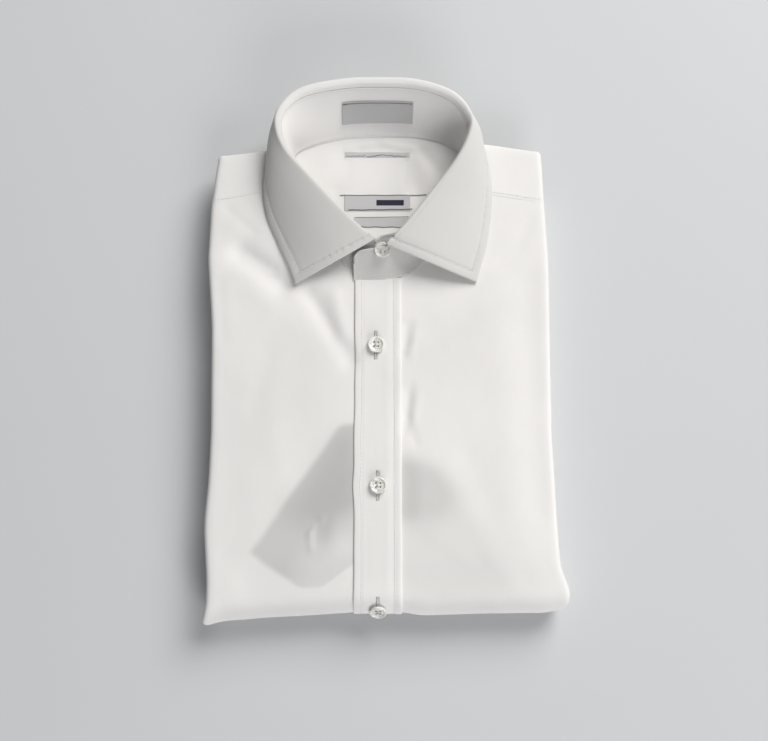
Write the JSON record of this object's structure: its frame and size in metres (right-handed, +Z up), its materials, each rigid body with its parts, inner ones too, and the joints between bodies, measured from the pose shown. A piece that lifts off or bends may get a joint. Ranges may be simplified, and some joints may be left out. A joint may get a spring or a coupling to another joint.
{
  "type": "folded dress shirt",
  "caption": "Dress shirt folded flat with its front up: spread collar, buttoned placket, yoke shoulders and hidden layers folded behind, as it lies on a shelf or a table",
  "frame": {"origin": "centre of the underside that rests on the table, midway between the side folds, below the middle of the placket", "axes": "+X to the right of someone facing the front, +Y from the bottom fold to the collar, +Z up from the table through the front"},
  "size_m": [0.2428, 0.3706, 0.054],
  "materials": {
    "white_cloth": "smooth poplin",
    "label_cloth": "woven satin",
    "pearl_button": "polished pearl"
  },
  "bodies": {
    "root": {"front_right": "white_cloth", "front_left": "white_cloth", "placket": "white_cloth", "yoke": "white_cloth", "inner_yoke": "white_cloth", "collar_band": "white_cloth", "collar_leaf": "white_cloth", "folded_layers": "white_cloth", "label_band": "label_cloth", "label_main": "label_cloth", "label_fit": "label_cloth", "button_collar": "pearl_button", "button_top": "pearl_button", "button_middle": "pearl_button", "button_fold": "pearl_button"}
  },
  "joints": []
}
